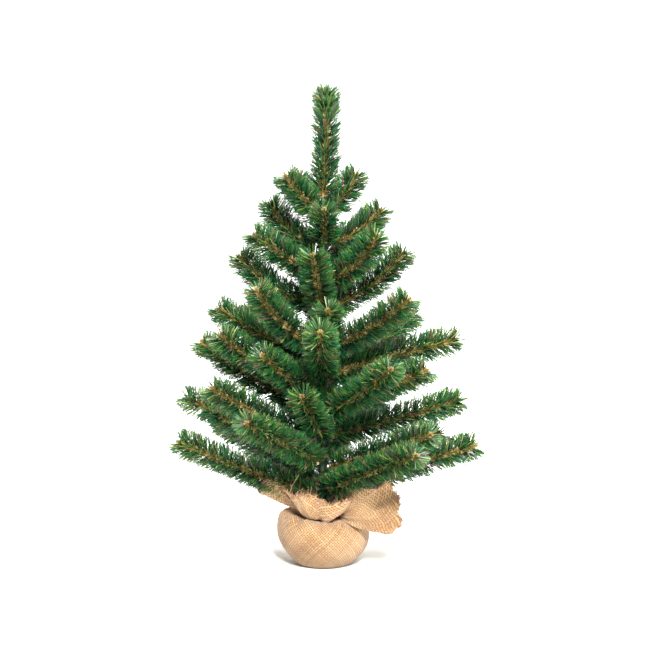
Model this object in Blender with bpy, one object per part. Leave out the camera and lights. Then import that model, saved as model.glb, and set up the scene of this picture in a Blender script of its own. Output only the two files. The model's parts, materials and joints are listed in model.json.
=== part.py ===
# Artificial tabletop tree: brush branches bound to a steel pole in a weighted, burlap-wrapped pot.
# Metres, +Z up. The origin is the centre of the flat underside, and the tree's front faces -Y.
import math

import bmesh
import bpy
from mathutils import Matrix

# Driving dimensions.
CLEARANCE = 0.0003

POT_HEIGHT = 0.046
POT_BASE_RADIUS = 0.031
POT_RIM_RADIUS = 0.0565
POT_WALL = 0.0016
POT_SIDES = 40

WEIGHT_BELOW_RIM = 0.008
WEIGHT_UNDER_POLE = 0.004

BURLAP_THICKNESS = 0.0016
BURLAP_BASE_SLACK = 0.0011
BURLAP_RIM_SLACK = 0.0016
NECK_ABOVE_POT = 0.012
NECK_RADIUS = 0.024
RUFFLE_REACH = 0.044
RUFFLE_HEIGHT = 0.022
# Each lobe of the ruffle: heading and half width in degrees, extra reach, extra height.
RUFFLE_LOBES = (
    (-14, 24, 0.030, -0.026),
    (178, 26, 0.010, 0.001),
    (258, 20, -0.012, 0.011),
    (95, 30, 0.002, -0.006),
)

TWINE_RADIUS = 0.0011
TWINE_TURNS = 2
TWINE_POINTS_PER_TURN = 24

POLE_RADIUS = 0.0025
POLE_ABOVE_LAST_WHORL = 0.0195
POLE_SIDES = 12

WRAP_THICKNESS = 0.0032
WRAP_HALF_HEIGHT = 0.009
WRAP_WINDINGS = 4
WRAP_GROOVE = 0.0007

WIRE_RADIUS = 0.0015
BRUSH_RADIUS = 0.010
BRUSH_FLARE = 0.15
BRUSH_ROUNDING = 0.014
BRUSH_SIDES = 8
LEADER_LENGTH = 0.1425
LEADER_RADIUS = 0.011
LEADER_TILT = 1.6

WHORL_ABOVE_NECK = 0.025
ROOT_STAGGER = 0.004
# Each whorl: its height above the lowest one, then the heading in degrees, the reach from the
# pole's axis and the rise in degrees of each of its branches, as the tree is bent into shape.
WHORLS = (
    (0.000, ((34, 0.197, 15.5), (0, 0.202, 19), (140, 0.186, 20), (188, 0.190, 23), (310, 0.180, 24))),
    (0.036, ((75, 0.180, 22), (158, 0.201, 22.5), (238, 0.176, 26), (334, 0.154, 22))),
    (0.070, ((12, 0.188, 12.5), (50, 0.172, 24), (118, 0.168, 25), (214, 0.168, 29), (252, 0.088, 41))),
    (0.111, ((90, 0.160, 26), (178, 0.160, 31), (232, 0.124, 35), (303, 0.154, 28), (332, 0.150, 22))),
    (0.149, ((356, 0.174, 16), (40, 0.162, 26), (135, 0.152, 28), (203, 0.144, 27), (269, 0.150, 29))),
    (0.184, ((95, 0.130, 33), (160, 0.150, 21), (227, 0.122, 38), (274, 0.080, 44), (327, 0.131, 31))),
    (0.234, ((8, 0.109, 36.5), (75, 0.108, 36), (170, 0.112, 34), (258, 0.064, 57))),
    (0.276, ((45, 0.094, 40), (130, 0.088, 40), (192, 0.093, 34), (318, 0.094, 38))),
    (0.314, ((8, 0.079, 34), (155, 0.079, 42), (272, 0.046, 54))),
    (0.355, ((32, 0.055, 48), (128, 0.058, 47), (214, 0.060, 45))),
)

# Heights and radii that follow from the driving dimensions.
POT_FOOT = BURLAP_THICKNESS + CLEARANCE
POT_TOP = POT_FOOT + POT_HEIGHT
WEIGHT_FOOT = POT_FOOT + POT_WALL + CLEARANCE
WEIGHT_TOP = POT_TOP - WEIGHT_BELOW_RIM
POLE_HOLE_FOOT = WEIGHT_FOOT + WEIGHT_UNDER_POLE
NECK_FOOT = POT_TOP + NECK_ABOVE_POT
TWINE_PITCH = 2 * TWINE_RADIUS + CLEARANCE
NECK_LENGTH = TWINE_TURNS * TWINE_PITCH + 2 * (TWINE_RADIUS + CLEARANCE)
NECK_TOP = NECK_FOOT + NECK_LENGTH
LOWEST_WHORL = NECK_TOP + WHORL_ABOVE_NECK
WRAP_RADIUS = POLE_RADIUS + CLEARANCE + WRAP_THICKNESS
ROOT_RADIUS = WRAP_RADIUS + CLEARANCE + WIRE_RADIUS
POLE_TOP = LOWEST_WHORL + WHORLS[-1][0] + POLE_ABOVE_LAST_WHORL


def clear_scene():
    for item in list(bpy.data.objects):
        bpy.data.objects.remove(item, do_unlink=True)


def material(name, colour, roughness, metallic=0.0):
    made = bpy.data.materials.new(name)
    made.use_nodes = True
    shader = made.node_tree.nodes["Principled BSDF"]
    shader.inputs["Base Color"].default_value = (*colour, 1.0)
    shader.inputs["Roughness"].default_value = roughness
    shader.inputs["Metallic"].default_value = metallic
    return made


def add_object(name, data, finish):
    item = bpy.data.objects.new(name, data)
    item.data.materials.append(finish)
    bpy.context.collection.objects.link(item)
    return item


def mesh_from_rings(name, rings):
    # Rings of points joined by quads, in the order in which they run up the outside, so that
    # the faces point out. A ring of one point is a pole.
    solid = bmesh.new()
    rows = [[solid.verts.new(point) for point in ring] for ring in rings]
    for low, high in zip(rows, rows[1:]):
        count = max(len(low), len(high))
        for i in range(count):
            j = (i + 1) % count
            corners = [low[i % len(low)], low[j % len(low)], high[j % len(high)], high[i % len(high)]]
            solid.faces.new(list(dict.fromkeys(corners)))
    mesh = bpy.data.meshes.new(name)
    solid.to_mesh(mesh)
    solid.free()
    mesh.shade_smooth()
    mesh.set_sharp_from_angle(angle=math.radians(35))
    return mesh


def turned(name, profile, sides):
    # A profile of (radius, height) points spun about Z; a radius of 0 is a pole.
    rings = []
    for radius, height in profile:
        if radius == 0:
            rings.append([(0, 0, height)])
            continue
        turn = [math.tau * i / sides for i in range(sides)]
        rings.append([(radius * math.cos(a), radius * math.sin(a), height) for a in turn])
    return mesh_from_rings(name, rings)


def base_pot(finish):
    profile = [
        (0, POT_FOOT),
        (POT_BASE_RADIUS, POT_FOOT),
        (POT_RIM_RADIUS, POT_TOP),
        (POT_RIM_RADIUS - POT_WALL, POT_TOP),
        (POT_BASE_RADIUS - POT_WALL, POT_FOOT + POT_WALL),
        (0, POT_FOOT + POT_WALL),
    ]
    add_object("base_pot", turned("base_pot", profile, POT_SIDES), finish)


def weight_radius(height):
    # The cup's inner wall runs straight from its floor to its rim; the cement stays clear of it.
    share = (height - POT_FOOT - POT_WALL) / (POT_HEIGHT - POT_WALL)
    inner_wall = POT_BASE_RADIUS - POT_WALL + share * (POT_RIM_RADIUS - POT_BASE_RADIUS)
    return inner_wall - 2 * CLEARANCE


def base_weight(finish):
    bore = POLE_RADIUS + CLEARANCE
    profile = [
        (0, WEIGHT_FOOT),
        (weight_radius(WEIGHT_FOOT), WEIGHT_FOOT),
        (weight_radius(WEIGHT_TOP), WEIGHT_TOP),
        (bore, WEIGHT_TOP),
        (bore, POLE_HOLE_FOOT),
        (0, POLE_HOLE_FOOT),
    ]
    add_object("base_weight", turned("base_weight", profile, POT_SIDES), finish)


def trunk_pole(finish):
    foot = POLE_HOLE_FOOT + CLEARANCE
    profile = [(0, foot), (POLE_RADIUS, foot), (POLE_RADIUS, POLE_TOP), (0, POLE_TOP)]
    add_object("trunk_pole", turned("trunk_pole", profile, POLE_SIDES), finish)


def ruffle_rim(heading):
    # The rim's reach past the neck and its height above it, with a bump for each lobe.
    reach = RUFFLE_REACH
    height = RUFFLE_HEIGHT
    for middle, half_width, more_reach, more_height in RUFFLE_LOBES:
        away = (math.degrees(heading) - middle + 180) % 360 - 180
        share = math.exp(-((away / half_width) ** 2))
        reach += share * more_reach
        height += share * more_height
    return reach, height


def burlap_point(station, heading):
    # Stations 0 to 1 run up the side of the pot, 1 to 2 over its shoulder to the neck,
    # 2 to 3 up the tied neck and 3 to 4 out along the ruffle.
    base = POT_BASE_RADIUS + CLEARANCE + BURLAP_THICKNESS + BURLAP_BASE_SLACK
    rim = POT_RIM_RADIUS + CLEARANCE + BURLAP_THICKNESS + BURLAP_RIM_SLACK
    if station <= 1:
        radius = base + (rim - base) * math.sin(station * math.pi / 2)
        height = station * POT_TOP
    elif station <= 2:
        turn = (station - 1) * math.pi / 2
        radius = NECK_RADIUS + (rim - NECK_RADIUS) * math.cos(turn)
        height = POT_TOP + NECK_ABOVE_POT * math.sin(turn)
    elif station <= 3:
        radius = NECK_RADIUS
        height = NECK_FOOT + (station - 2) * NECK_LENGTH
    else:
        reach, rise = ruffle_rim(heading)
        turn = (station - 3) * math.pi / 2
        radius = NECK_RADIUS + reach * (1 - math.cos(turn))
        height = NECK_TOP + rise * math.sin(turn)
    return (radius * math.cos(heading), radius * math.sin(heading), height)


def burlap_wrap(finish):
    stations = [0, 0.12, 0.4, 0.7, 1, 1.3, 1.65, 2, 3, 3.35, 3.6, 3.8, 4]
    headings = [math.tau * i / POT_SIDES for i in range(POT_SIDES)]
    rings = [[(0, 0, 0)]]
    rings += [[burlap_point(station, heading) for heading in headings] for station in stations]
    mesh = mesh_from_rings("burlap_wrap", rings)
    wrap = add_object("burlap_wrap", mesh, finish)
    wall = wrap.modifiers.new("cloth", "SOLIDIFY")
    wall.thickness = BURLAP_THICKNESS
    wall.offset = -1
    wall.use_even_offset = True


def twine_tie(finish):
    # Twine wound round the neck, each turn one clearance above the last.
    curve = bpy.data.curves.new("twine_tie", "CURVE")
    curve.dimensions = "3D"
    curve.bevel_depth = TWINE_RADIUS
    curve.bevel_resolution = 2
    curve.use_fill_caps = True
    count = TWINE_TURNS * TWINE_POINTS_PER_TURN + 1
    line = curve.splines.new("POLY")
    line.points.add(count - 1)
    radius = NECK_RADIUS + 2 * CLEARANCE + TWINE_RADIUS
    for i, point in enumerate(line.points):
        turns = i / TWINE_POINTS_PER_TURN
        heading = math.tau * (turns - 0.25)
        height = NECK_FOOT + CLEARANCE + TWINE_RADIUS + turns * TWINE_PITCH
        point.co = (radius * math.cos(heading), radius * math.sin(heading), height, 1)
    add_object("twine_tie", curve, finish)


def wire_wrap(number, whorl_height, finish):
    # A sleeve of wound wire ends: ridges one winding apart round a plain bore.
    bore = POLE_RADIUS + CLEARANCE
    foot = whorl_height - WRAP_HALF_HEIGHT
    winding = 2 * WRAP_HALF_HEIGHT / WRAP_WINDINGS
    profile = [(bore, foot)]
    for i in range(WRAP_WINDINGS):
        profile.append((WRAP_RADIUS - WRAP_GROOVE, foot + i * winding))
        profile.append((WRAP_RADIUS, foot + (i + 0.5) * winding))
    profile.append((WRAP_RADIUS - WRAP_GROOVE, foot + WRAP_WINDINGS * winding))
    profile.append((bore, foot + WRAP_WINDINGS * winding))
    profile.append(profile[0])
    name = f"wire_wrap_{number}"
    mesh = turned(name, profile, POLE_SIDES)
    ring = bmesh.new()
    ring.from_mesh(mesh)
    bmesh.ops.remove_doubles(ring, verts=ring.verts, dist=CLEARANCE / 10)
    ring.to_mesh(mesh)
    ring.free()
    add_object(name, mesh, finish)


def brush_profile(length, widest):
    # From the wire's rounded root the brush flares, runs level and rounds off at its tip.
    shoulder = length - BRUSH_ROUNDING
    full = min((widest - WIRE_RADIUS) / BRUSH_FLARE, shoulder)
    radius = WIRE_RADIUS + BRUSH_FLARE * full
    profile = [(0, -WIRE_RADIUS), (0.6 * WIRE_RADIUS, -0.8 * WIRE_RADIUS), (WIRE_RADIUS, 0), (radius, full)]
    if full < shoulder:
        profile.append((radius, shoulder))
    profile.append((0.84 * radius, length - 0.3 * BRUSH_ROUNDING))
    profile.append((0.55 * radius, length))
    profile.append((0, length))
    return profile


def branch(name, heading, reach, rise, root_height, finish):
    # Its origin is the bend at the root, and its own X axis runs out along the wire.
    length = (reach - ROOT_RADIUS) / math.cos(rise)
    mesh = turned(name, brush_profile(length, BRUSH_RADIUS), BRUSH_SIDES)
    mesh.transform(Matrix.Rotation(math.pi / 2, 4, "Y"))
    item = add_object(name, mesh, finish)
    item.location = (ROOT_RADIUS * math.cos(heading), ROOT_RADIUS * math.sin(heading), root_height)
    item.rotation_euler = (0, -rise, heading)


def leader(finish):
    # It leans to +X by LEADER_TILT degrees about its own bend, over the top of the pole.
    mesh = turned("leader", brush_profile(LEADER_LENGTH, LEADER_RADIUS), BRUSH_SIDES)
    item = add_object("leader", mesh, finish)
    item.location = (0, 0, POLE_TOP + CLEARANCE + WIRE_RADIUS)
    item.rotation_euler = (0, math.radians(LEADER_TILT), 0)


def branches(needles, wire):
    for number, (above, members) in enumerate(WHORLS, 1):
        whorl_height = LOWEST_WHORL + above
        wire_wrap(number, whorl_height, wire)
        for i, (heading, reach, rise) in enumerate(members):
            root_height = whorl_height + ROOT_STAGGER * (-1) ** i
            name = f"branch_{number}_{i + 1}"
            branch(name, math.radians(heading), reach, math.radians(rise), root_height, needles)


def build():
    clear_scene()
    burlap = material("woven_burlap", (0.61, 0.41, 0.22), 0.95)
    twine = material("jute_twine", (0.50, 0.33, 0.17), 0.95)
    plastic = material("pot_plastic", (0.10, 0.06, 0.04), 0.5)
    cement = material("cement", (0.45, 0.44, 0.41), 0.9)
    steel = material("pole_steel", (0.06, 0.11, 0.05), 0.5, 0.0)
    wire = material("binding_wire", (0.10, 0.14, 0.07), 0.45, 0.0)
    needles = material("film_needles", (0.06, 0.16, 0.06), 0.45)
    burlap_wrap(burlap)
    twine_tie(twine)
    base_pot(plastic)
    base_weight(cement)
    trunk_pole(steel)
    branches(needles, wire)
    leader(needles)


build()
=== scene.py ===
import json
import math

import bpy
import numpy as np
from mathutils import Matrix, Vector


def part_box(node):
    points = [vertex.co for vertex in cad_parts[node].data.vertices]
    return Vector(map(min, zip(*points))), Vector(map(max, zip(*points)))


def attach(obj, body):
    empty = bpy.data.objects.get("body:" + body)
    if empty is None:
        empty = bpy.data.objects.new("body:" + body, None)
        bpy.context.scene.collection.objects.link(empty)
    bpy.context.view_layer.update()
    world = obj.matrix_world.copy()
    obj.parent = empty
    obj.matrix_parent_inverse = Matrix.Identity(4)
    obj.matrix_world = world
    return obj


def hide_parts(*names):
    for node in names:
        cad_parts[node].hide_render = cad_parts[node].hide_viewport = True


# Artificial tabletop tree: cut-film brush branches on a lacquered pole, its pot wrapped in burlap.
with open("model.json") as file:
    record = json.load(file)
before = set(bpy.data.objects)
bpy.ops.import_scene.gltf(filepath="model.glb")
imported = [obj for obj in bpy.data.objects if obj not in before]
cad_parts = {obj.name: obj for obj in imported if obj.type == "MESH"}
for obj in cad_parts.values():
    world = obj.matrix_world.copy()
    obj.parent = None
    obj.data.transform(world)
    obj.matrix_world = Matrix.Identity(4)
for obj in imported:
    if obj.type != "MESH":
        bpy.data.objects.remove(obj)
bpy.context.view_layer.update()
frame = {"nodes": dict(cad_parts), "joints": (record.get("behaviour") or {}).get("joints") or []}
joints = {joint["child"]: joint for joint in frame["joints"]}
print("frame loaded:", len(frame["nodes"]), "nodes")


def paint(hexColour):
    # sRGB hex to the linear numbers that shaders use
    parts = [int(hexColour[i:i + 2], 16) / 255 for i in (1, 3, 5)]
    linear = [p / 12.92 if p <= 0.04045 else ((p + 0.055) / 1.055) ** 2.4 for p in parts]
    return (*linear, 1.0)


def addNode(material, kind, settings=None, links=None):
    # adds one node; settings are attributes or input values, links are input: output socket
    # (a Mix node's two numbers are its inputs 2 and 3, its two colours are 6 and 7)
    node = material.node_tree.nodes.new(kind)
    for key, value in (settings or {}).items():
        if isinstance(key, str) and hasattr(node, key):
            setattr(node, key, value)
        else:
            node.inputs[key].default_value = value
    for key, socket in (links or {}).items():
        material.node_tree.links.new(socket, node.inputs[key])
    return node


def newMaterial(name, roughness, metallic=0.0, ior=None):
    material = bpy.data.materials.new(name)
    material.use_nodes = True
    shader = material.node_tree.nodes["Principled BSDF"]
    shader.inputs["Roughness"].default_value = roughness
    shader.inputs["Metallic"].default_value = metallic
    if ior:
        shader.inputs["IOR"].default_value = ior
    return material, shader


def setRamp(node, stops):
    # stops are (place, hex colour) from left to right
    ramp = node.color_ramp
    while len(ramp.elements) < len(stops):
        ramp.elements.new(0.5)
    for element, (place, colour) in zip(ramp.elements, stops):
        element.position = place
        element.color = paint(colour)


def plugIn(material, socket, target):
    material.node_tree.links.new(socket, target)


def unit(vectors):
    return vectors / np.maximum(np.linalg.norm(vectors, axis=-1, keepdims=True), 1e-12)


def meshFrom(name, verts, faceSizes, corners, uv=None, smooth=True):
    # one mesh from whole arrays: points, corners per face, and the point at each corner
    mesh = bpy.data.meshes.new(name)
    mesh.vertices.add(len(verts))
    mesh.vertices.foreach_set("co", np.ascontiguousarray(verts, np.float32).ravel())
    mesh.loops.add(len(corners))
    mesh.loops.foreach_set("vertex_index", np.ascontiguousarray(corners, np.int32))
    mesh.polygons.add(len(faceSizes))
    starts = np.concatenate([[0], np.cumsum(faceSizes)[:-1]]).astype(np.int32)
    mesh.polygons.foreach_set("loop_start", starts)
    mesh.update(calc_edges=True)
    if uv is not None:
        layer = mesh.uv_layers.new(name="OFBake")
        layer.uv.foreach_set("vector", np.ascontiguousarray(uv, np.float32).ravel())
    mesh.polygons.foreach_set("use_smooth", np.full(len(faceSizes), smooth))
    return mesh


def addPiece(name, mesh, material, body):
    piece = bpy.data.objects.new(name, mesh)
    bpy.context.scene.collection.objects.link(piece)
    mesh.materials.append(material)
    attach(piece, body)
    return piece


def joinShapes(shapes):
    # several shapes as one: points, face sizes, corners, map
    counts = np.cumsum([0] + [len(shape[0]) for shape in shapes])
    corners = [shape[2] + count for shape, count in zip(shapes, counts)]
    verts, sizes, uv = (np.concatenate([shape[i] for shape in shapes]) for i in (0, 1, 3))
    return verts, sizes, np.concatenate(corners), uv


# where each kind of strip lies across the film's map, how wide one is there, and its two ends
needleTint = {"green": (0.02, 0.74), "brown": (0.79, 0.86), "fringe": (0.91, 0.98)}
mapHalfWidth = 0.006
mapEnds = (0.02, 0.98)


def needleShapes(roots, directions, sides, lengths, widths, curls, tints, bends):
    # Each needle is a low three-cornered blade: its middle line is
    # root + direction * length * t + curl * length * t squared, and it narrows to a cut tip.
    count = len(roots)
    stations = np.linspace(0, 1, bends + 2)
    narrow = np.interp(stations, [0, 0.5, 1], [0.85, 1.0, 0.66])
    ridgeShare = 0.28  # how high the blade's ridge stands, as a share of its width
    middle = (roots[:, None] + directions[:, None] * lengths[:, None, None] * stations[:, None]
              + curls[:, None] * lengths[:, None, None] * (stations ** 2)[:, None])
    flat = unit(np.cross(directions, sides))
    half = 0.5 * widths[:, None] * narrow
    edge = sides[:, None] * half[..., None]
    rise = flat[:, None] * (half * 2 * ridgeShare)[..., None]
    verts = np.stack([middle - edge, middle + edge, middle + rise], axis=2).reshape(-1, 3)
    rings = len(stations)
    base = np.arange(count)[:, None] * 3 * rings
    walls = np.array([[3 * k + i, 3 * k + (i + 1) % 3, 3 * k + 3 + (i + 1) % 3, 3 * k + 3 + i]
                      for k in range(rings - 1) for i in range(3)])
    ends = np.array([[2, 1, 0], [3 * rings - 3, 3 * rings - 2, 3 * rings - 1]])
    corners = np.concatenate([(base + walls.ravel()), (base + ends.ravel())], axis=1)
    sizes = np.tile(np.array([4] * len(walls) + [3] * 2), count)
    # the map holds a needle's tint across and the way along it upwards
    along = np.repeat(stations, 3)
    across = np.tile(np.array([-1.0, 1.0, 0.0]), rings) * mapHalfWidth
    local = np.concatenate([walls.ravel(), ends.ravel()])
    u = tints[:, None] + across[local]
    v = np.broadcast_to(np.interp(along, (0, 1), mapEnds)[local], u.shape)
    return verts, sizes, corners.ravel(), np.stack([u, v], axis=-1).reshape(-1, 2)


def crossways(path):
    # two unit directions at each point of a path, square to the path and to each other
    tangent = unit(np.gradient(path, axis=0))
    helper = np.where(np.abs(tangent[:, 2:3]) > 0.9, [[1.0, 0, 0]], [[0, 0, 1.0]])
    first = unit(np.cross(tangent, helper))
    return first, np.cross(tangent, first)


def tubeShape(path, radius, sides, tint):
    # a round tube: path + (first * cos + second * sin) * radius, which may change along it
    first, second = crossways(path)
    turn = np.linspace(0, 2 * np.pi, sides, endpoint=False)
    ring = (first[:, None] * np.cos(turn)[:, None] + second[:, None] * np.sin(turn)[:, None])
    verts = (path[:, None] + ring * np.broadcast_to(radius, len(path))[:, None, None]).reshape(-1, 3)
    n = len(path)
    k, i = np.meshgrid(np.arange(n - 1), np.arange(sides), indexing="ij")
    j = (i + 1) % sides
    walls = np.stack([k * sides + i, k * sides + j, (k + 1) * sides + j, (k + 1) * sides + i], -1)
    caps = np.concatenate([np.arange(sides)[::-1], (n - 1) * sides + np.arange(sides)])
    corners = np.concatenate([walls.ravel(), caps])
    sizes = np.array([4] * (walls.size // 4) + [sides] * 2)
    place = np.repeat(np.linspace(*mapEnds, n), sides)
    across = np.tile(mapHalfWidth * np.cos(turn), n)
    uv = np.stack([tint + across[corners], place[corners]], -1)
    return verts, sizes, corners, uv


def twistedWire(line, up, side, distance, wire):
    # two strands wound round the line, one full turn in each twist length
    shapes = []
    for phase in (0, np.pi):
        angle = 2 * np.pi * distance / wire["twist"] + phase
        offset = up * np.cos(angle)[:, None] + side * np.sin(angle)[:, None]
        path = line + offset * wire["strand"]
        shapes.append(tubeShape(path, wire["strand"], wire["sides"], wire["tint"]))
    return shapes


coreWire = {"twist": 0.0150, "strand": 0.00055, "sides": 5, "tint": 0.885, "step": 0.0016}
brushSettings = {
    "bow": -0.007, "sway": 0.004, "bowRange": (-0.3, 1.5), "fullBowLength": 0.12,
    "rootInset": 0.0025, "tipInset": 0.0040, "lastNeedle": 0.0095, "tipZone": 0.014,
    # how the needles stand round the wire (angles in degrees, turns in radians)
    "bladeSpread": 0.45, "looseShare": 0.30, "pressed": 0.62, "underLean": 8, "leanRange": (12, 88),
    "tuft": 0.0075, "tuftLean": 5.0, "tuftTurn": 0.25,
    # how one needle differs from the next
    "lengthRange": (0.88, 1.04), "widthRange": (0.75, 1.2), "tilt": 0.45,
    "curlRange": (-0.06, 0.16), "curlSpread": 0.045,
    "brownShare": 0.10, "toneShape": (1.7, 2.2), "tipTone": 0.22, "fringeFade": 0.7,
    # the needles, and the short fringe where their cut ends are caught in the wire
    "needles": {"perMillimetre": 12.0, "length": 0.0232, "width": 0.00116, "lean": 59, "leanSpread": 10,
                "first": 0.002, "tipFold": 0.12, "tipCut": 0.22, "bends": 1},
    "fringe": {"perMillimetre": 6.5, "length": 0.0054, "width": 0.001044, "lean": 78, "leanSpread": 10,
               "first": 0.001, "tipFold": 0.65, "tipCut": 0.5, "bends": 0},
}
leaderSettings = dict(brushSettings, bow=0.0008, sway=0.0020, underLean=0, lastNeedle=0.0132,
                      needles=dict(brushSettings["needles"], lean=52))


def brushShape(root, direction, side, length, rng, bow, sway, settings):
    # A branch: a gently bowed twisted wire with needles set round it. The bow and sway are
    # half sine waves, so both ends of the wire stay where the frame has them.
    up = np.cross(side, direction)
    up = up * np.sign(up[2] if abs(up[2]) > 1e-6 else 1.0)
    # The tree is boxed with its branches folded up and pressed front to back, which leaves fewer
    # needles on the two faces that were pressed; this is the way those faces point once unfolded.
    flatSpan = math.hypot(direction[0], direction[1])
    pressedWay = np.array([0, 1.0, 0])
    if flatSpan > 0.1:
        pressedWay = (up * direction[1] + side * direction[0]) / flatSpan
    wireEnd = length - settings["tipInset"]
    lastNeedle = length - settings["lastNeedle"]

    def lineAt(s):
        wave = np.sin(np.pi * np.clip(s / length, 0, 1))
        return root + np.outer(s, direction) + np.outer(wave * bow, up) + np.outer(wave * sway, side)

    def frameAt(s):
        slope = np.pi / length * np.cos(np.pi * np.clip(s / length, 0, 1))
        tangent = unit(direction + np.outer(slope * bow, up) + np.outer(slope * sway, side))
        over = unit(np.cross(side, tangent) * np.sign(np.dot(np.cross(side, direction), up)))
        return tangent, over, np.cross(tangent, over)

    def greens(place):
        low, high = needleTint["green"]
        tipward = settings["tipTone"] * np.clip(place / length, 0, 1) ** 4
        pick = np.clip(rng.beta(*settings["toneShape"], len(place)) + tipward, 0, 1)
        isBrown = rng.random(len(place)) < settings["brownShare"]
        brown = rng.uniform(*needleTint["brown"], len(place))
        return np.where(isBrown, brown, low + (high - low) * pick)

    def fringes(place):
        low, high = needleTint["fringe"]
        fade = 1 - settings["fringeFade"] * np.clip(place / wireEnd, 0, 1) ** 8
        return low + (high - low) * rng.random(len(place)) * fade

    def strands(coat, last, tints):
        count = int(1000 * last * coat["perMillimetre"])
        place = rng.uniform(coat["first"], last, count)
        # most leave in two blades that turn with the twisted wire, the rest anywhere round it
        blade = 2 * np.pi * place / coreWire["twist"] + np.pi * rng.integers(0, 2, count)
        loose = rng.random(count) < settings["looseShare"]
        angle = np.where(loose, rng.uniform(0, 2 * np.pi, count),
                         blade + rng.normal(0, settings["bladeSpread"], count))
        # neighbours lean and turn together, as one tuft
        tuft = np.floor(place / settings["tuft"]).astype(int)
        tuftLean = rng.normal(0, settings["tuftLean"], tuft.max() + 2)
        tuftTurn = rng.normal(0, settings["tuftTurn"], tuft.max() + 2)
        ahead, top, out = frameAt(place)
        nearTip = np.clip((place - last + settings["tipZone"]) / settings["tipZone"], 0, 1)
        lean = (coat["lean"] + settings["underLean"] * np.cos(angle) + tuftLean[tuft]
                + rng.normal(0, coat["leanSpread"], count)) * (1 - coat["tipFold"] * nearTip)
        lean = np.radians(np.clip(lean, *settings["leanRange"]))
        turned = angle + tuftTurn[tuft]
        radial = top * np.cos(turned)[:, None] + out * np.sin(turned)[:, None]
        radial = unit(radial - settings["pressed"] * np.outer(radial @ pressedWay, pressedWay))
        heading = unit(ahead * np.cos(lean)[:, None] + radial * np.sin(lean)[:, None])
        wide = unit(np.cross(heading, radial) + settings["tilt"] * rng.normal(0, 1, (count, 3)))
        wide = unit(wide - heading * np.sum(wide * heading, 1)[:, None])
        curl = (ahead * rng.uniform(*settings["curlRange"], count)[:, None]
                + settings["curlSpread"] * rng.normal(0, 1, (count, 3)))
        lengths = (coat["length"] * rng.uniform(*settings["lengthRange"], count)
                   * (1 - coat["tipCut"] * nearTip ** 2))
        widths = coat["width"] * rng.uniform(*settings["widthRange"], count)
        roots = lineAt(place) + radial * coreWire["strand"]
        return needleShapes(roots, heading, wide, lengths, widths, curl, tints(place), coat["bends"])

    s = np.arange(-settings["rootInset"], wireEnd, coreWire["step"])
    tangent, over, across = frameAt(s)
    shapes = twistedWire(lineAt(s), over, across, s, coreWire)
    shapes.append(strands(settings["needles"], lastNeedle, greens))
    shapes.append(strands(settings["fringe"], wireEnd, fringes))
    return joinShapes(shapes)


# Slit PVC film: glossy thin strips, green with a few brown ones, and a short golden brown fringe
# where the cut ends are caught in the wire. Gives the eye small hard glints along each strip.
def makeFilm():
    material, shader = newMaterial("slitPvcFilm", 0.27, ior=1.54)
    place = addNode(material, "ShaderNodeUVMap", {"uv_map": "OFBake"})
    axes = addNode(material, "ShaderNodeSeparateXYZ", links={0: place.outputs[0]})
    root = addNode(material, "ShaderNodeValToRGB", links={0: axes.outputs[0]})
    tip = addNode(material, "ShaderNodeValToRGB", links={0: axes.outputs[0]})
    # greens up to 0.77, their palest end a painted highlight on the glossy film, browns up to 0.87, the wire
    # at 0.89, then the golden fringe
    setRamp(root, [(0.0, "#02140e"), (0.2, "#052616"), (0.42, "#103818"), (0.6, "#304e20"), (0.7, "#5e7032"),
                   (0.77, "#a0a662"), (0.785, "#2a1a14"), (0.87, "#543624"), (0.89, "#4c4430"),
                   (0.905, "#7c6432"), (0.94, "#bea25a"), (1.0, "#e6d08e")])
    setRamp(tip, [(0.0, "#0a3e2a"), (0.2, "#145632"), (0.42, "#2a7034"), (0.6, "#5c863a"), (0.7, "#92a44e"),
                  (0.77, "#d8daa0"), (0.785, "#58402e"), (0.87, "#94705a"), (0.89, "#5c5440"),
                  (0.905, "#a08248"), (0.94, "#dcc27a"), (1.0, "#f8eab6")])
    # each strip blends from the darker root ramp to the lighter tip ramp: painted shade near the wire, deep
    # inside the brush
    tipward = addNode(material, "ShaderNodeMapRange", {"From Min": 0.25, "From Max": 0.95},
                      {"Value": axes.outputs[1]})
    strip = addNode(material, "ShaderNodeMix", {"data_type": "RGBA"},
                    {0: tipward.outputs[0], 6: root.outputs[0], 7: tip.outputs[0]})
    # each strip is bleached to olive gold where it was cut and caught in the wire
    bleached = addNode(material, "ShaderNodeMapRange",
                       {"From Min": 0.05, "From Max": 0.26, "To Min": 0.85, "To Max": 0.0},
                       {"Value": axes.outputs[1]})
    mixed = addNode(material, "ShaderNodeMix", {"data_type": "RGBA", 7: paint("#b39c52")},
                    {0: bleached.outputs[0], 6: strip.outputs[2]})
    # streaks a strip's width across, from the slitting
    stretched = addNode(material, "ShaderNodeMapping", {"Scale": (260.0, 6.0, 1.0)}, {0: place.outputs[0]})
    streak = addNode(material, "ShaderNodeTexNoise", {"Scale": 1.0, "Detail": 2.0}, {0: stretched.outputs[0]})
    level = addNode(material, "ShaderNodeMapRange",
                    {"From Min": 0.32, "From Max": 0.68, "To Min": 0.5, "To Max": 1.45},
                    {"Value": streak.outputs[0]})
    shaded = addNode(material, "ShaderNodeVectorMath", {"operation": "SCALE"},
                     {0: mixed.outputs[2], "Scale": level.outputs[0]})
    plugIn(material, shaded.outputs[0], shader.inputs["Base Color"])
    return material


film = makeFilm()


def axisOf(name):
    # where a branch's wire runs: its bend, its direction and its length, read from the frame
    joint = joints[name]
    root = np.array(joint["pos_m"])
    points = np.array([v.co for v in frame["nodes"][name].data.vertices]) - root
    middle = points.mean(axis=0)
    direction = middle / np.linalg.norm(middle)
    return root, direction, float((points @ direction).max()), np.array(joint["axis"])


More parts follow.
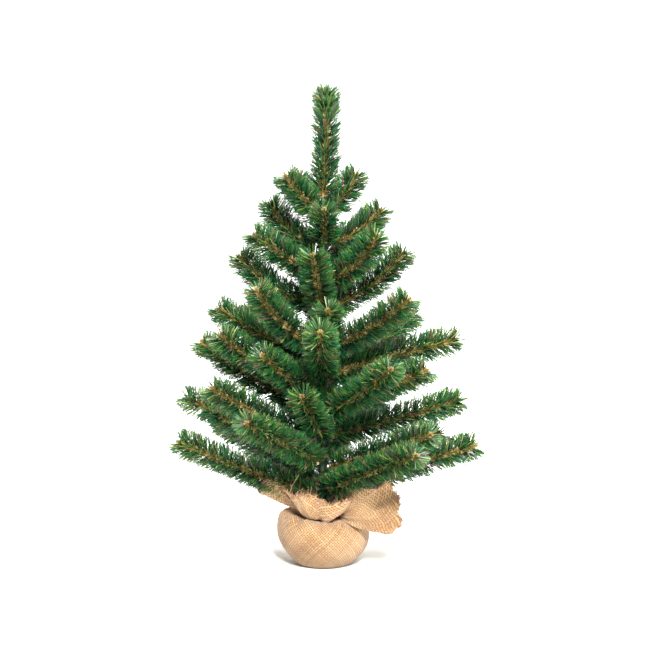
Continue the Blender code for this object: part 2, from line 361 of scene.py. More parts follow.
def makeBranches():
    names = sorted(name for name in frame["nodes"] if name.startswith("branch_"))
    for index, name in enumerate(names):
        root, direction, length, axis = axisOf(name)
        rng = np.random.default_rng(1000 + index)
        short = min(1, length / brushSettings["fullBowLength"])
        bow = brushSettings["bow"] * rng.uniform(*brushSettings["bowRange"]) * short
        sway = brushSettings["sway"] * rng.uniform(-1, 1) * short
        shape = brushShape(root, direction, axis, length, rng, bow, sway, brushSettings)
        piece = addPiece("brush_" + name[7:], meshFrom("brush_" + name[7:], *shape, smooth=False),
                         film, name)
        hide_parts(name)
    print("branches made:", len(names))


def makeLeader():
    root, direction, length, axis = axisOf("leader")
    side = unit(axis - direction * np.dot(axis, direction))
    rng = np.random.default_rng(77)
    shape = brushShape(root, direction, side, length, rng, leaderSettings["bow"], leaderSettings["sway"],
                       leaderSettings)
    piece = addPiece("brush_leader", meshFrom("brush_leader", *shape, smooth=False),
                     film, "leader")
    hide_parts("leader")
    print("leader made")


trunkSettings = {
    "perMillimetre": 5.0, "length": 0.0185, "width": 0.0013,
    "lean": 60, "leanSpread": 12, "leanRange": (15, 88), "tilt": 0.3, "curlSpread": 0.06,
    "aboveNeck": 0.004, "belowTop": 0.002, "offPole": 0.0002,
    "brownShare": 0.25, "shadedGreenRange": (0.02, 0.45), "lengthRange": (0.7, 1.1), "widthRange": (0.8, 1.2),
}


def makeTrunkNeedles():
    # short needles caught between the pole and its wire, in the stretch that carries branches
    low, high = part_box("trunk_pole")
    start = burlap["neckTop"] + trunkSettings["aboveNeck"]
    end = high.z - trunkSettings["belowTop"]
    rng = np.random.default_rng(41)
    count = int(1000 * (end - start) * trunkSettings["perMillimetre"])
    place = rng.uniform(start, end, count)
    angle = rng.uniform(0, 2 * np.pi, count)
    radial = np.stack([np.cos(angle), np.sin(angle), np.zeros(count)], 1)
    lean = rng.normal(trunkSettings["lean"], trunkSettings["leanSpread"], count)
    lean = np.radians(np.clip(lean, *trunkSettings["leanRange"]))
    heading = radial * np.sin(lean)[:, None] + np.array([0, 0, 1.0]) * np.cos(lean)[:, None]
    side = unit(np.stack([-np.sin(angle), np.cos(angle), trunkSettings["tilt"] * rng.normal(0, 1, count)], 1))
    side = unit(side - heading * np.sum(side * heading, 1)[:, None])
    roots = radial * (high.x + trunkSettings["offPole"])
    roots[:, 2] = place
    curl = trunkSettings["curlSpread"] * rng.normal(0, 1, (count, 3))
    isBrown = rng.random(count) < trunkSettings["brownShare"]
    brown = rng.uniform(*needleTint["brown"], count)
    # the trunk needles take only the darker greens: painted shade deep inside the tree
    tints = np.where(isBrown, brown, rng.uniform(*trunkSettings["shadedGreenRange"], count))
    lengths = trunkSettings["length"] * rng.uniform(*trunkSettings["lengthRange"], count)
    widths = trunkSettings["width"] * rng.uniform(*trunkSettings["widthRange"], count)
    shape = needleShapes(roots, heading, side, lengths, widths, curl, tints, bends=1)
    addPiece("trunkNeedles", meshFrom("trunkNeedles", *shape, smooth=False), film, "stand")
    print("trunk needles made:", count)


# the turns stand a little more than a wire apart; the under layer starts later and ends sooner
windingSettings = {"wireRadius": 0.00075, "sides": 6, "pointsPerTurn": 14, "turnGap": 2.08, "layerGap": 2.05,
                   "underStart": 0.0015}


# Lacquered binding wire: soft steel drawn and dipped in dark green, with a low satin shine.
def makeWireFinish():
    material, shader = newMaterial("lacqueredWire", 0.38, ior=1.5)
    place = addNode(material, "ShaderNodeTexCoord")
    # rubbed spots 2.4 mm across
    rubbed = addNode(material, "ShaderNodeTexNoise", {"Scale": 420.0, "Detail": 3.0},
                     {0: place.outputs["Object"]})
    tone = addNode(material, "ShaderNodeValToRGB", links={0: rubbed.outputs[0]})
    setRamp(tone, [(0.35, "#23402a"), (0.62, "#35553a"), (0.72, "#6b6a5a")])
    plugIn(material, tone.outputs[0], shader.inputs["Base Color"])
    return material


wireFinish = makeWireFinish()


def makeWindings():
    # each winding is two helices, one inside the other: radius * (cos, sin) of the angle, pitch * turns
    wire = windingSettings["wireRadius"]
    pitch = windingSettings["turnGap"] * wire
    for name in sorted(n for n in frame["nodes"] if n.startswith("wire_wrap_")):
        low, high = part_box(name)
        shapes = []
        for layer in (0, 1):
            radius = high.x - wire - layer * windingSettings["layerGap"] * wire
            inset = layer * windingSettings["underStart"]
            turns = (high.z - low.z - 2 * wire - 2 * inset) / pitch
            t = np.linspace(0, turns, int(turns * windingSettings["pointsPerTurn"]))
            angle = 2 * np.pi * t + layer
            path = np.stack([radius * np.cos(angle), radius * np.sin(angle),
                             low.z + wire + inset + t * pitch], 1)
            shapes.append(tubeShape(path, wire, windingSettings["sides"], 0.5))
        piece = addPiece("winding_" + name[10:], meshFrom("winding_" + name[10:], *joinShapes(shapes)),
                         wireFinish, "stand")
        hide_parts(name)
    print("windings made")


burlap = {
    "thickness": 0.0009, "threadPitch": 0.0029, "crimp": 0.66, "aroundCloth": 0.376, "area": 0.062,
    "columns": 440, "bulbRows": 62, "neckRows": 5, "ruffleRows": 52,
    "neckRadius": 0.0228, "neckFoot": 0.0606, "neckTop": 0.0660,
    # gathers: waves round the cloth, and how far they stand out or up on the bag, at the neck, on the fan
    "pleats": (13, 21, 34), "pleatOut": 0.0014, "pleatUp": 0.0016, "pleatNeck": 0.0012, "pleatFan": 0.0011,
    "slack": 0.0005, "fold": 0.0010, "lobe": 0.0016, "ragged": (0.0011, 0.0009, 0.0006),
    # soft swellings of the bag: heading and width in degrees, and height
    "puff": (190, 42, 0.0070), "puffOut": 0.15, "full": (-12, 60, 0.0050), "dip": (-84, 48, 0.0040),
}
# the bag from the middle of its underside to the neck: share of the way, radius, height (mm)
bulbProfile = (
    (0.00, 0.0, 0.0), (0.13, 28.0, 0.0), (0.19, 34.0, 1.6), (0.30, 42.6, 9.5), (0.45, 52.0, 22.5),
    (0.59, 57.2, 34.0), (0.71, 58.6, 44.0), (0.79, 57.4, 52.5), (0.87, 51.0, 61.4), (0.94, 38.0, 64.6),
    (1.00, 23.6, 60.6),
)
# Ribs of the ruffle: heading on the bag, heading at the neck (degrees), then three control
# points (mm) of the curve that leaves the neck and ends at the rim.
ruffleRibs = (
    (-172, -172, -32, -6, 72, -56, -8, 82, -83, -6, 97),
    (-158, -160, -31, -13, 73, -49, -17, 88, -68, -15, 111),
    (-147, -149, -25, -13, 73, -38, -16, 85, -52, -14, 104),
    (-137, -138, -26, -30, 62, -33, -38, 82, -39, -42, 98),
    (-120, -120, -19, -37, 58, -26, -45, 82, -29, -47, 100),
    (-104, -103, -12, -41, 57, -16, -47, 80, -18, -48, 99),
    (-94, -92, -3, -42, 57, -4, -49, 78, -4, -50, 95),
    (-84, -82, 8, -43, 56, 12, -51, 74, 12, -53, 90),
    (-75, -73, 15, -39, 60, 26, -47, 75, 30, -48, 92),
    (-67, -65, 16, -31, 67, 34, -34, 82, 40, -30, 98),
    (-59, -58, 16, -26, 74, 27, -25, 90, 22, -20, 108),
    (-50, -52, 18, -28, 73, 36, -36, 86, 44, -36, 107),
    (-42, -47, 19, -29, 72, 42, -42, 84, 66, -43, 106),
    (-33, -42, 19, -30, 71, 48, -43, 82, 78, -32, 111),
    (-24, -37, 18, -30, 70, 52, -46, 76, 93, -32, 100),
    (-16, -32, 18, -31, 69, 54, -49, 71, 97, -42, 91),
    (-9, -28, 17, -31, 69, 54, -50, 66, 94, -46, 80),
    (-1, -24, 16, -32, 68, 52, -52, 62, 97, -44, 71),
    (7, -19, 15, -32, 67, 49, -53, 59, 99, -45, 61),
    (16, -14, 15, -33, 66, 44, -54, 56, 84, -48, 53),
    (30, -6, 24, -26, 66, 50, -44, 55, 66, -38, 52),
    (44, 6, 31, -10, 71, 48, -18, 65, 62, -16, 63),
    (62, 25, 32, 12, 75, 48, 20, 80, 62, 28, 84),
    (80, 50, 24, 26, 75, 36, 38, 87, 46, 48, 100),
    (98, 75, 8, 33, 75, 12, 48, 84, 14, 62, 88),
    (116, 100, -6, 33, 76, -10, 46, 88, -12, 54, 102),
    (138, 128, -20, 26, 75, -32, 40, 84, -44, 54, 88),
    (162, 155, -30, 14, 75, -46, 22, 86, -60, 28, 98),
    (178, 176, -33, 2, 73, -55, 2, 81, -75, 8, 90),
)


def smoothThrough(places, values, where):
    # a smooth curve through the values: cubic Hermite pieces with centred slopes
    slope = np.gradient(values, places, axis=0)
    i = np.clip(np.searchsorted(places, where, side="right") - 1, 0, len(places) - 2)
    step = (places[i + 1] - places[i])[:, None]
    t = (where - places[i])[:, None] / step
    return ((2 * t ** 3 - 3 * t ** 2 + 1) * values[i] + (t ** 3 - 2 * t ** 2 + t) * step * slope[i]
            + (3 * t ** 2 - 2 * t ** 3) * values[i + 1] + (t ** 3 - t ** 2) * step * slope[i + 1])


def hump(where, heading, width, height):
    # a smooth rise round one heading (degrees): height * exp(-(degrees away / width) squared)
    away = (where - heading + 180) % 360 - 180
    return height * np.exp(-(away / width) ** 2)


def burlapSurface():
    # Rings of points from the middle of the underside up the bag, through the tied neck and out
    # to the rim. The bag is its profile turned round, with pleats (sums of waves round the
    # heading) that grow towards the neck. The ruffle is a fan of cubic curves, one a heading.
    b = burlap
    cloth = np.linspace(-180, 180, b["columns"], endpoint=False)
    phi = np.radians(cloth)
    ribs = np.array(ruffleRibs, float)
    span = np.concatenate([ribs[-3:, 0] - 360, ribs[:, 0], ribs[:3, 0] + 360])
    wrapped = ribs[:, 1:].copy()
    before, after = wrapped[-3:].copy(), wrapped[:3].copy()
    before[:, 0] -= 360
    after[:, 0] += 360
    rib = smoothThrough(span, np.concatenate([before, wrapped, after]), cloth)
    neckPhi = np.radians(rib[:, 0])
    first, second, third = rib[:, 1:4] / 1000, rib[:, 4:7] / 1000, rib[:, 7:10] / 1000
    waves = [np.sin(n * phi + 0.7 * n) for n in b["pleats"]]
    folds = (waves[0] + 0.6 * waves[1] + 0.4 * waves[2]) / 1.5
    wide = np.sin(8 * phi + 0.9 + 0.8 * np.sin(2 * phi))

    k = np.linspace(0, 1, b["bulbRows"])
    profile = np.array(bulbProfile)
    rz = smoothThrough(profile[:, 0], profile[:, 1:], k) / 1000
    # along the bag: pleats grow over its upper half, the shoulder swells, the lower belly fills
    grow = (np.clip((k - 0.55) / 0.45, 0, 1) ** 1.6)[:, None]
    shoulder = np.exp(-((k - 0.86) / 0.09) ** 2)[:, None]
    middle = np.clip(k / 0.3, 0, 1)[:, None] * (1 - grow)
    belly = (np.exp(-((k - 0.40) / 0.22) ** 2) * np.clip(k / 0.15, 0, 1))[:, None]
    puff = hump(cloth, *b["puff"])
    radius = (rz[:, :1] + b["pleatOut"] * grow * folds + b["slack"] * middle * wide
              + b["puffOut"] * shoulder * puff + belly * hump(cloth, *b["full"]))
    height = rz[:, 1:] + b["pleatUp"] * grow * folds + shoulder * (puff - hump(cloth, *b["dip"]))
    height = np.maximum(height, 0)
    blend = np.clip((k - 0.72) / 0.28, 0, 1)
    blend = blend ** 2 * (3 - 2 * blend)
    turned = phi + blend[:, None] * (neckPhi - phi)
    bulb = np.stack([radius * np.cos(turned), radius * np.sin(turned), height], -1)

    k = np.linspace(0, 1, b["neckRows"] + 2)[1:-1, None]
    tied = b["neckRadius"] + b["pleatNeck"] * folds
    height = b["neckFoot"] + (b["neckTop"] - b["neckFoot"]) * k + b["pleatUp"] * (1 - k) * folds
    neck = np.stack([tied * np.cos(neckPhi) + 0 * k, tied * np.sin(neckPhi) + 0 * k, height], -1)

    share = np.linspace(0, 1, b["ruffleRows"])[:, None]
    k = share[..., None]
    root = np.stack([tied * np.cos(neckPhi), tied * np.sin(neckPhi), np.full_like(phi, b["neckTop"])], -1)
    ruffle = ((1 - k) ** 3 * root + 3 * k * (1 - k) ** 2 * first + 3 * k ** 2 * (1 - k) * second
              + k ** 3 * third)
    # small folds stand on the fan along its own normal
    around = np.roll(ruffle, -1, 1) - np.roll(ruffle, 1, 1)
    normal = unit(np.cross(around, np.gradient(ruffle, axis=0)))
    ripple = (b["pleatFan"] * folds + b["fold"] * share * np.sin(17 * phi + 5 * share)
              + b["lobe"] * share ** 2 * np.sin(11 * phi + 2.0 + 3 * share))
    ruffle = ruffle + normal * (ripple * np.sin(np.pi * np.clip(share * 1.4, 0, 0.5)))[..., None]
    # the cut edge wanders a little: three waves, each with a wandering phase
    wander = (np.sin(19 * phi + 1 + 2 * np.sin(3 * phi)), np.sin(41 * phi + 3 * np.sin(5 * phi)),
              np.sin(90 * phi + 2 + 4 * np.sin(7 * phi)))
    ragged = sum(size * wave for size, wave in zip(b["ragged"], wander))
    ruffle = ruffle + (share ** 6 * ragged)[..., None] * unit(np.gradient(ruffle, axis=0))
    return np.concatenate([bulb, neck, ruffle])


def shellShape(points, thickness):
    # A closed sheet with two faces: the outer grid, the same grid moved in along its normals, and a
    # rim. The first ring is one point, the bag's middle.
    rows, columns = points.shape[:2]
    around = np.roll(points, -1, 1) - np.roll(points, 1, 1)
    along = np.gradient(points, axis=0)
    normal = unit(np.cross(around, along))
    normal[0] = (0, 0, -1)
    inner = points - normal * thickness
    verts = np.concatenate([points[1:].reshape(-1, 3), inner[1:].reshape(-1, 3),
                            points[0, :1], inner[0, :1]])
    total = (rows - 1) * columns
    bottom, top = 2 * total, 2 * total + 1
    k, i = np.meshgrid(np.arange(rows - 2), np.arange(columns), indexing="ij")
    j = (i + 1) % columns
    outside = np.stack([k * columns + i, k * columns + j,
                        (k + 1) * columns + j, (k + 1) * columns + i], -1)
    inside = outside[..., ::-1] + total
    i = np.arange(columns)
    j = (i + 1) % columns
    last = (rows - 2) * columns
    rim = np.stack([last + i, last + j, last + j + total, last + i + total], -1)
    under = np.stack([np.full(columns, bottom), j, i], -1)
    over = np.stack([np.full(columns, top), i + total, j + total], -1)
    quads = np.concatenate([outside.reshape(-1, 4), inside.reshape(-1, 4), rim])
    tris = np.concatenate([under, over])
    corners = np.concatenate([quads.ravel(), tris.ravel()])
    sizes = np.array([4] * len(quads) + [3] * len(tris))
    # The map is the flat cloth: round it across, up it along, both sides alike. It stops just short
    # of 1, and the rim's strip uses what is left.
    rimShare = 0.003
    arc = np.cumsum(np.linalg.norm(np.diff(points, axis=0), axis=2), axis=0)
    longest = arc.max() * 1.004
    arc = np.concatenate([np.zeros((1, columns)), arc]) / longest
    nextArc = np.roll(arc, -1, 1)
    quadColumn = np.tile(np.arange(columns), rows - 2)
    uQuad = np.stack([quadColumn, quadColumn + 1, quadColumn + 1, quadColumn], -1) / columns
    vQuad = np.stack([arc[1:-1], nextArc[1:-1], nextArc[2:], arc[2:]], -1).reshape(-1, 4)
    uRim = np.stack([i, i + 1, i + 1, i], -1) / columns
    vRim = np.stack([arc[-1], nextArc[-1], nextArc[-1] + rimShare, arc[-1] + rimShare], -1)
    uTri = np.concatenate([np.stack([i + 0.5, i + 1, i], -1), np.stack([i + 0.5, i, i + 1], -1)]) / columns
    vTri = np.concatenate([np.stack([0 * i, nextArc[1], arc[1]], -1),
                           np.stack([0 * i, arc[1], nextArc[1]], -1)])
    u = np.concatenate([uQuad.ravel(), uQuad[:, ::-1].ravel(), uRim.ravel(), uTri.ravel()])
    v = np.concatenate([vQuad.ravel(), vQuad[:, ::-1].ravel(), vRim.ravel(), vTri.ravel()])
    return verts, sizes, corners, np.stack([u, v], -1), float(longest)


# Jute burlap, cut on the bias: loose plain weave of hairy yarn, straw coloured, with painted shade in the
# gaps between its yarns.
def makeBurlapFinish(width, length):
    material, shader = newMaterial("wovenJute", 0.9, ior=1.45)
    shader.inputs["Sheen Weight"].default_value = 0.25
    shader.inputs["Sheen Roughness"].default_value = 0.6
    place = addNode(material, "ShaderNodeUVMap", {"uv_map": "OFBake"})
    pitch = burlap["threadPitch"]
    # whole repeats round the cloth, so that the weave meets itself
    across = 2 * round(width / pitch / 2 / math.sqrt(2))
    along = round(length / pitch / math.sqrt(2))
    wobble = addNode(material, "ShaderNodeTexNoise", {"Scale": 9.0, "Detail": 2.0}, {0: place.outputs[0]})
    wander = addNode(material, "ShaderNodeVectorMath",
                     {"operation": "MULTIPLY_ADD", 1: (0.012, 0.02, 0), 2: (-0.006, -0.01, 0)},
                     {0: wobble.outputs[1]})
    moved = addNode(material, "ShaderNodeVectorMath", {"operation": "ADD"},
                    {0: place.outputs[0], 1: wander.outputs[0]})
    # the two sets of threads cross the map's axes on the slant: round plus up, and round less up
    spread = addNode(material, "ShaderNodeVectorMath", {"operation": "MULTIPLY", 1: (across, along, 0)},
                     {0: moved.outputs[0]})
    warps = addNode(material, "ShaderNodeVectorMath", {"operation": "DOT_PRODUCT", 1: (1, 1, 0)},
                    {0: spread.outputs[0]})
    wefts = addNode(material, "ShaderNodeVectorMath", {"operation": "DOT_PRODUCT", 1: (1, -1, 0)},
                    {0: spread.outputs[0]})
    counted = addNode(material, "ShaderNodeCombineXYZ",
                      links={0: warps.outputs["Value"], 1: wefts.outputs["Value"]})
    # each thread is a rounded ridge, and the sign of the two sines' product says which set is on top
    phase = addNode(material, "ShaderNodeVectorMath", {"operation": "SCALE", "Scale": math.pi},
                    {0: counted.outputs[0]})
    sines = addNode(material, "ShaderNodeVectorMath", {"operation": "SINE"}, {0: phase.outputs[0]})
    wave = addNode(material, "ShaderNodeSeparateXYZ", links={0: sines.outputs[0]})
    sizes = addNode(material, "ShaderNodeVectorMath", {"operation": "ABSOLUTE"}, {0: sines.outputs[0]})
    bulge = addNode(material, "ShaderNodeSeparateXYZ", links={0: sizes.outputs[0]})
    over = addNode(material, "ShaderNodeMath", {"operation": "MULTIPLY"},
                   {0: wave.outputs[0], 1: wave.outputs[1]})
    upright = addNode(material, "ShaderNodeMath", {"operation": "MULTIPLY_ADD", 1: burlap["crimp"]},
                      {0: over.outputs[0], 2: bulge.outputs[0]})
    level = addNode(material, "ShaderNodeMath", {"operation": "MULTIPLY_ADD", 1: -burlap["crimp"]},
                    {0: over.outputs[0], 2: bulge.outputs[1]})
    height = addNode(material, "ShaderNodeMath", {"operation": "MAXIMUM"},
                     {0: upright.outputs[0], 1: level.outputs[0]})
    # each yarn has a tone of its own, and slubs along it
    cells = addNode(material, "ShaderNodeVectorMath", {"operation": "FLOOR"}, {0: counted.outputs[0]})
    split = addNode(material, "ShaderNodeSeparateXYZ", links={0: cells.outputs[0]})
    warpTone = addNode(material, "ShaderNodeTexWhiteNoise", {"noise_dimensions": "1D"},
                       {"W": split.outputs[0]})
    weftTone = addNode(material, "ShaderNodeTexWhiteNoise", {"noise_dimensions": "1D"},
                       {"W": split.outputs[1]})
    isWarp = addNode(material, "ShaderNodeMath", {"operation": "GREATER_THAN"},
                     {0: upright.outputs[0], 1: level.outputs[0]})
    yarn = addNode(material, "ShaderNodeMix", {"data_type": "FLOAT"},
                   {0: isWarp.outputs[0], 2: weftTone.outputs[0], 3: warpTone.outputs[0]})
    fibre = addNode(material, "ShaderNodeTexNoise", {"Scale": 2.2, "Detail": 4.0}, {0: counted.outputs[0]})
    patch = addNode(material, "ShaderNodeTexNoise", {"Scale": 6.0, "Detail": 2.0}, {0: place.outputs[0]})
    yarnPart = addNode(material, "ShaderNodeMath", {"operation": "MULTIPLY", 1: 0.17}, {0: yarn.outputs[0]})
    fibrePart = addNode(material, "ShaderNodeMath", {"operation": "MULTIPLY_ADD", 1: 0.55},
                        {0: fibre.outputs[0], 2: yarnPart.outputs[0]})
    tone = addNode(material, "ShaderNodeMath", {"operation": "MULTIPLY_ADD", 1: 0.35},
                   {0: patch.outputs[0], 2: fibrePart.outputs[0]})
    straw = addNode(material, "ShaderNodeValToRGB", links={0: tone.outputs[0]})
    setRamp(straw, [(0.30, "#74502f"), (0.42, "#a0764a"), (0.53, "#b89062"), (0.66, "#cdac7e"),
                    (0.80, "#e4cca4")])
    # the low places between the yarns are mixed towards dark brown: painted shade in the weave's gaps
    gap = addNode(material, "ShaderNodeMapRange", {"From Min": 0.33, "From Max": 1.03},
                  {"Value": height.outputs[0]})
    dark = addNode(material, "ShaderNodeMix", {"data_type": "RGBA", 6: paint("#5c3a20")},
                   {0: gap.outputs[0], 7: straw.outputs[0]})
    plugIn(material, dark.outputs[2], shader.inputs["Base Color"])
    relief = addNode(material, "ShaderNodeMath", {"operation": "MULTIPLY_ADD", 1: 0.6},
                     {0: fibre.outputs[0], 2: height.outputs[0]})
    bump = addNode(material, "ShaderNodeBump", {"Strength": 0.9, "Distance": 0.00055},
                   {"Height": relief.outputs[0]})
    plugIn(material, bump.outputs[0], shader.inputs["Normal"])
    return material


# Single jute yarn, as it frays from the cloth: hairy and matt, some ends reddish brown, some straw.
def makeYarnFinish():
    material, shader = newMaterial("frayedJute", 0.92, ior=1.45)
    shader.inputs["Sheen Weight"].default_value = 0.3
    place = addNode(material, "ShaderNodeTexCoord")
    thread = addNode(material, "ShaderNodeUVMap", {"uv_map": "OFBake"})
    axes = addNode(material, "ShaderNodeSeparateXYZ", links={0: thread.outputs[0]})
    # tone changes every 3 mm or so along a yarn, and from one yarn to the next
    fibre = addNode(material, "ShaderNodeTexNoise", {"Scale": 300.0, "Detail": 4.0},
                    {0: place.outputs["Object"]})
    level = addNode(material, "ShaderNodeMath", {"operation": "MULTIPLY_ADD", 1: 0.6, 2: -0.28},
                    {0: axes.outputs[0]})
    both = addNode(material, "ShaderNodeMath", {"operation": "ADD"},
                   {0: fibre.outputs[0], 1: level.outputs[0]})
    tone = addNode(material, "ShaderNodeValToRGB", links={0: both.outputs[0]})
    setRamp(tone, [(0.25, "#5e3a22"), (0.42, "#8c5c38"), (0.56, "#b5875a"), (0.74, "#dcb88c")])
    plugIn(material, tone.outputs[0], shader.inputs["Base Color"])
    return material


yarnFinish = makeYarnFinish()


def makeBurlap():
    points = burlapSurface()
    shape = shellShape(points, burlap["thickness"])
    width, length = burlap["aroundCloth"], shape[4]
    finish = makeBurlapFinish(width, length)
    piece = addPiece("burlapCloth", meshFrom("burlapCloth", *shape[:4]), finish, "stand")
    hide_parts("burlap_wrap")
    fringe = makeFray(points)
    cells = np.cross(np.roll(points, -1, 1)[:-1] - points[:-1], np.diff(points, axis=0))
    area = float(np.linalg.norm(cells, axis=2).sum())
    print("burlap made: length", round(length, 4), "area", round(area, 5))


frayed = {
    "perMetre": 3600, "longShare": 0.025, "longReach": (0.009, 0.017), "shortReach": (0.0015, 0.0048),
    "longRadius": 0.00026, "shortRadius": (0.00028, 0.0005), "tipRadius": 0.5, "tuckedIn": 0.0012,
    "headingSpread": 0.32, "bendSpread": 0.35, "points": 6, "sides": 4,
}


def makeFray(points):
    # Loose yarn ends round the rim, some of them long. Each is a tube along
    # start + heading * reach * t + bend * reach * t squared.
    f = frayed
    rng = np.random.default_rng(14)
    edge = points[-1]
    outward = unit(points[-1] - points[-4])
    along = np.concatenate([[0], np.cumsum(np.linalg.norm(np.diff(edge, axis=0), axis=1))])
    t = np.linspace(0, 1, f["points"])[:, None]
    taper = np.linspace(1, f["tipRadius"], f["points"])
    shapes = []
    for place in rng.uniform(0, along[-1], int(along[-1] * f["perMetre"])):
        i = np.searchsorted(along, place) - 1
        share = (place - along[i]) / (along[i + 1] - along[i])
        start = edge[i] * (1 - share) + edge[i + 1] * share - outward[i] * f["tuckedIn"]
        isLong = rng.random() < f["longShare"]
        reach = rng.uniform(*f["longReach"]) if isLong else rng.uniform(*f["shortReach"])
        heading = unit(outward[i] + rng.normal(0, f["headingSpread"], 3))
        bend = rng.normal(0, f["bendSpread"], 3)
        path = start + heading * reach * t + bend * reach * t ** 2
        radius = f["longRadius"] if isLong else rng.uniform(*f["shortRadius"])
        shapes.append(tubeShape(path, radius * taper, f["sides"], rng.random()))
    return addPiece("frayedEdge", meshFrom("frayedEdge", *joinShapes(shapes)),
                    yarnFinish, "stand")


twine = {
    "turns": 2, "pointsPerTurn": 60, "radius": 0.0011, "lay": 0.0055, "step": 0.0007, "sides": 7,
    "plyOffset": 0.48, "plyRadius": 0.54, "rise": 2.3, "knotSize": 1.15,
    "tailDrops": ((-1, 0.020), (1, 0.028)),
}


def plyShapes(path):
    # a two-ply twine: two tubes that wind round the path once in each lay
    distance = np.concatenate([[0], np.cumsum(np.linalg.norm(np.diff(path, axis=0), axis=1))])
    s = np.arange(0, distance[-1], twine["step"])
    line = np.stack([np.interp(s, distance, path[:, k]) for k in range(3)], 1)
    first, second = crossways(line)
    shapes = []
    for phase in (0, np.pi):
        angle = 2 * np.pi * s / twine["lay"] + phase
        offset = first * np.cos(angle)[:, None] + second * np.sin(angle)[:, None]
        shapes.append(tubeShape(line + offset * twine["radius"] * twine["plyOffset"],
                                twine["radius"] * twine["plyRadius"], twine["sides"], 0.5))
    return shapes


def makeTwine():
    # Two turns round the neck, a knot at the back (sums of sines, as a trefoil has), and its two tails.
    low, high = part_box("twine_tie")
    r = twine["radius"]
    ring = high.x - r
    t = np.linspace(0, twine["turns"], twine["turns"] * twine["pointsPerTurn"])
    angle = 2 * np.pi * t + np.pi / 2
    path = np.stack([ring * np.cos(angle), ring * np.sin(angle),
                     low.z + r + twine["rise"] * r * t / twine["turns"]], 1)
    shapes = plyShapes(path)
    knotMiddle = np.array([0, ring + 1.2 * r, low.z + 2.2 * r])
    u = np.linspace(0, 2 * np.pi, 70)
    knot = knotMiddle + r * twine["knotSize"] * np.stack(
        [np.sin(u) + 2 * np.sin(2 * u), 0.9 * -np.sin(3 * u), np.cos(u) - 2 * np.cos(2 * u)], 1)
    shapes += plyShapes(knot)
    for way, drop in twine["tailDrops"]:
        v = np.linspace(0, 1, 26)
        tail = knotMiddle + np.stack([way * (0.004 + 0.012 * v), 0.003 + 0.020 * v - 0.006 * v ** 2,
                                      -drop * v ** 1.6 + 0.003 * np.sin(3 * v)], 1)
        shapes += plyShapes(tail)
    piece = addPiece("juteTwine", meshFrom("juteTwine", *joinShapes(shapes)),
                     yarnFinish, "stand")
    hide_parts("twine_tie")
    print("twine made")


# Injection-moulded polypropylene cup, dark brown, with a faint orange-peel skin.
def makeCupFinish():
    material, shader = newMaterial("mouldedPolypropylene", 0.5, ior=1.49)
    place = addNode(material, "ShaderNodeTexCoord")
    # cloudy tone 11 mm across, and a skin of 1.4 mm grain
    cloud = addNode(material, "ShaderNodeTexNoise", {"Scale": 90.0, "Detail": 3.0},
                    {0: place.outputs["Object"]})
    tone = addNode(material, "ShaderNodeValToRGB", links={0: cloud.outputs[0]})
    setRamp(tone, [(0.3, "#3a2a20"), (0.7, "#4a382c")])
    plugIn(material, tone.outputs[0], shader.inputs["Base Color"])
    peel = addNode(material, "ShaderNodeTexNoise", {"Scale": 700.0}, {0: place.outputs["Object"]})
    bump = addNode(material, "ShaderNodeBump", {"Strength": 0.3, "Distance": 0.0001},
                   {"Height": peel.outputs[0]})
    plugIn(material, bump.outputs[0], shader.inputs["Normal"])
    return material


# Poured cement: grey, with sand grains and small air holes on its top.
def makeCementFinish():
    material, shader = newMaterial("pouredCement", 0.88, ior=1.5)
    place = addNode(material, "ShaderNodeTexCoord")
    # grains 1.1 mm across, and a hole in each 3.8 mm
    sand = addNode(material, "ShaderNodeTexNoise", {"Scale": 900.0, "Detail": 4.0},
                   {0: place.outputs["Object"]})
    tone = addNode(material, "ShaderNodeValToRGB", links={0: sand.outputs[0]})
    setRamp(tone, [(0.3, "#7d7a72"), (0.5, "#a09c92"), (0.72, "#bdb8ac")])
    holes = addNode(material, "ShaderNodeTexVoronoi", {"Scale": 260.0}, {0: place.outputs["Object"]})
    # the holes are painted darker as well as sunk by the bump: painted shade in them
    pit = addNode(material, "ShaderNodeMapRange",
                  {"From Min": 0.08, "From Max": 0.22, "To Min": 0.35}, {"Value": holes.outputs[0]})
    shaded = addNode(material, "ShaderNodeVectorMath", {"operation": "SCALE"},
                     {0: tone.outputs[0], "Scale": pit.outputs[0]})
    plugIn(material, shaded.outputs[0], shader.inputs["Base Color"])
    bump = addNode(material, "ShaderNodeBump", {"Strength": 0.6, "Distance": 0.0006},
                   {"Height": pit.outputs[0]})
    plugIn(material, bump.outputs[0], shader.inputs["Normal"])
    return material


# Stove-enamelled steel rod, dark green, with thin scuffs along it.
def makePoleFinish():
    material, shader = newMaterial("enamelledSteel", 0.34, ior=1.5)
    place = addNode(material, "ShaderNodeTexCoord")
    # scuffs 1.1 mm wide and 17 mm long
    stretched = addNode(material, "ShaderNodeMapping", {"Scale": (900.0, 900.0, 60.0)},
                        {0: place.outputs["Object"]})
    scuff = addNode(material, "ShaderNodeTexNoise", {"Scale": 1.0, "Detail": 3.0}, {0: stretched.outputs[0]})
    tone = addNode(material, "ShaderNodeValToRGB", links={0: scuff.outputs[0]})
    setRamp(tone, [(0.3, "#1d3a24"), (0.6, "#2a4a2f"), (0.75, "#4d5a48")])
    plugIn(material, tone.outputs[0], shader.inputs["Base Color"])
    return material


def dressNodes():
    for name, finish in (("base_pot", makeCupFinish()), ("base_weight", makeCementFinish()),
                         ("trunk_pole", makePoleFinish())):
        node = frame["nodes"][name]
        node.data.materials.clear()
        node.data.materials.append(finish)


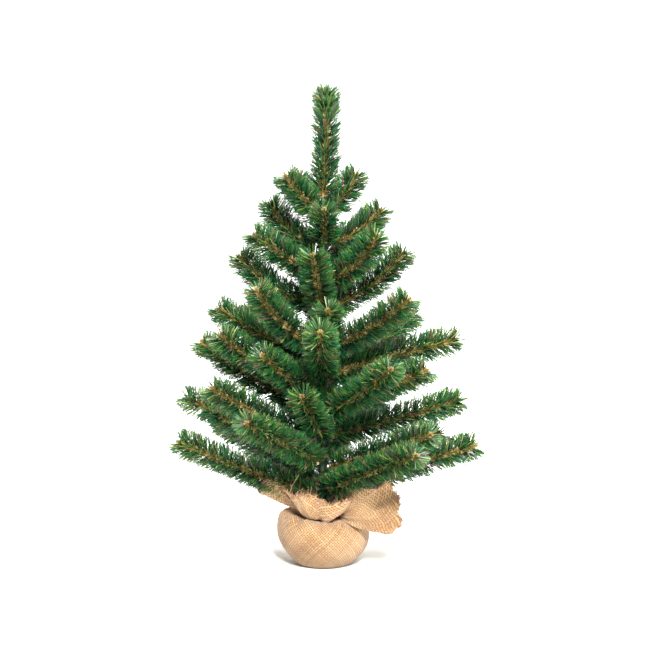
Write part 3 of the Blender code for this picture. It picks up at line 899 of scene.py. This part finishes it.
studio = {
    "distance": 2.0, "elevation": 8.0, "aim": (0.0027, 0.0, 0.3094), "widthSeen": 0.824, "sensorWidth": 36,
    "halfWidth": 6.0, "floorEnd": 2.2, "coveRadius": 1.2, "coveStart": 0.15, "wallFoot": 1.6, "wallTop": 5.0,
    "world": 0.22,
    # each light's place, size (m), power (W) and what it points at
    "lights": {"key": ((0.35, -2.1, 1.85), 0.55, 134, (0, 0, 0.28)),
               "fill": ((1.9, -1.6, 0.9), 1.4, 20, (0, 0, 0.28)),
               "top": ((0.2, 0.2, 2.4), 1.1, 96, (0, 0, 0.28)),
               "wall": ((0.0, 0.9, 2.3), 1.6, 170, (0, 3.2, 0.6))},
}


def makeCamera():
    camera = bpy.data.objects.new("camera", bpy.data.cameras.new("camera"))
    bpy.context.scene.collection.objects.link(camera)
    rise = math.radians(studio["elevation"])
    x, y, z = studio["aim"]
    camera.location = (x, y - studio["distance"] * math.cos(rise), z + studio["distance"] * math.sin(rise))
    camera.rotation_euler = (math.pi / 2 - rise, 0, 0)
    camera.data.sensor_width = studio["sensorWidth"]
    camera.data.lens = studio["sensorWidth"] * studio["distance"] / studio["widthSeen"]
    bpy.context.scene.camera = camera


def makeLight(name, place, size, power, aim):
    lamp = bpy.data.lights.new(name, "AREA")
    lamp.size = size
    lamp.energy = power
    light = bpy.data.objects.new(name, lamp)
    bpy.context.scene.collection.objects.link(light)
    light.location = place
    way = np.array(aim) - np.array(place)
    flat = math.hypot(way[0], way[1])
    light.rotation_euler = (math.atan2(flat, -way[2]), 0, math.atan2(way[0], -way[1]) + math.pi)


def makeStudio():
    # a pale sheet: a level floor, a quarter circle up from it, then the wall
    bend = np.linspace(studio["coveStart"], np.pi / 2, 10)
    radius, halfWidth, floorEnd = studio["coveRadius"], studio["halfWidth"], studio["floorEnd"]
    run = np.concatenate([np.linspace(-halfWidth, floorEnd, 18), floorEnd + radius * np.sin(bend),
                          np.full(6, floorEnd + radius)])
    lift = np.concatenate([np.zeros(18), radius * (1 - np.cos(bend)),
                           np.linspace(studio["wallFoot"], studio["wallTop"], 6)])
    columns = 9
    x = np.linspace(-halfWidth, halfWidth, columns)
    verts = np.stack(np.broadcast_arrays(x[None, :], run[:, None], lift[:, None]), -1).reshape(-1, 3)
    k, i = np.meshgrid(np.arange(len(run) - 1), np.arange(columns - 1), indexing="ij")
    first, above = k * columns + i, (k + 1) * columns + i
    quads = np.stack([first, first + 1, above + 1, above], -1)
    mesh = meshFrom("sweep", verts, np.full(quads.size // 4, 4), quads.ravel())
    material, shader = newMaterial("paperSweep", 0.9)
    shader.inputs["Base Color"].default_value = paint("#f4f4f2")
    mesh.materials.append(material)
    sweep = bpy.data.objects.new("sweep", mesh)
    bpy.context.scene.collection.objects.link(sweep)
    for name, (place, size, power, aim) in studio["lights"].items():
        makeLight(name, place, size, power, aim)
    world = bpy.data.worlds.new("studio")
    world.use_nodes = True
    world.node_tree.nodes["Background"].inputs["Color"].default_value = (1, 1, 1, 1)
    world.node_tree.nodes["Background"].inputs["Strength"].default_value = studio["world"]
    bpy.context.scene.world = world
    bpy.context.scene.view_settings.view_transform = "Standard"
    print("studio made:", len(studio["lights"]), "lights")


makeCamera()
makeStudio()
makeBranches()
makeLeader()
makeTrunkNeedles()
makeWindings()
makeTwine()
makeBurlap()
dressNodes()
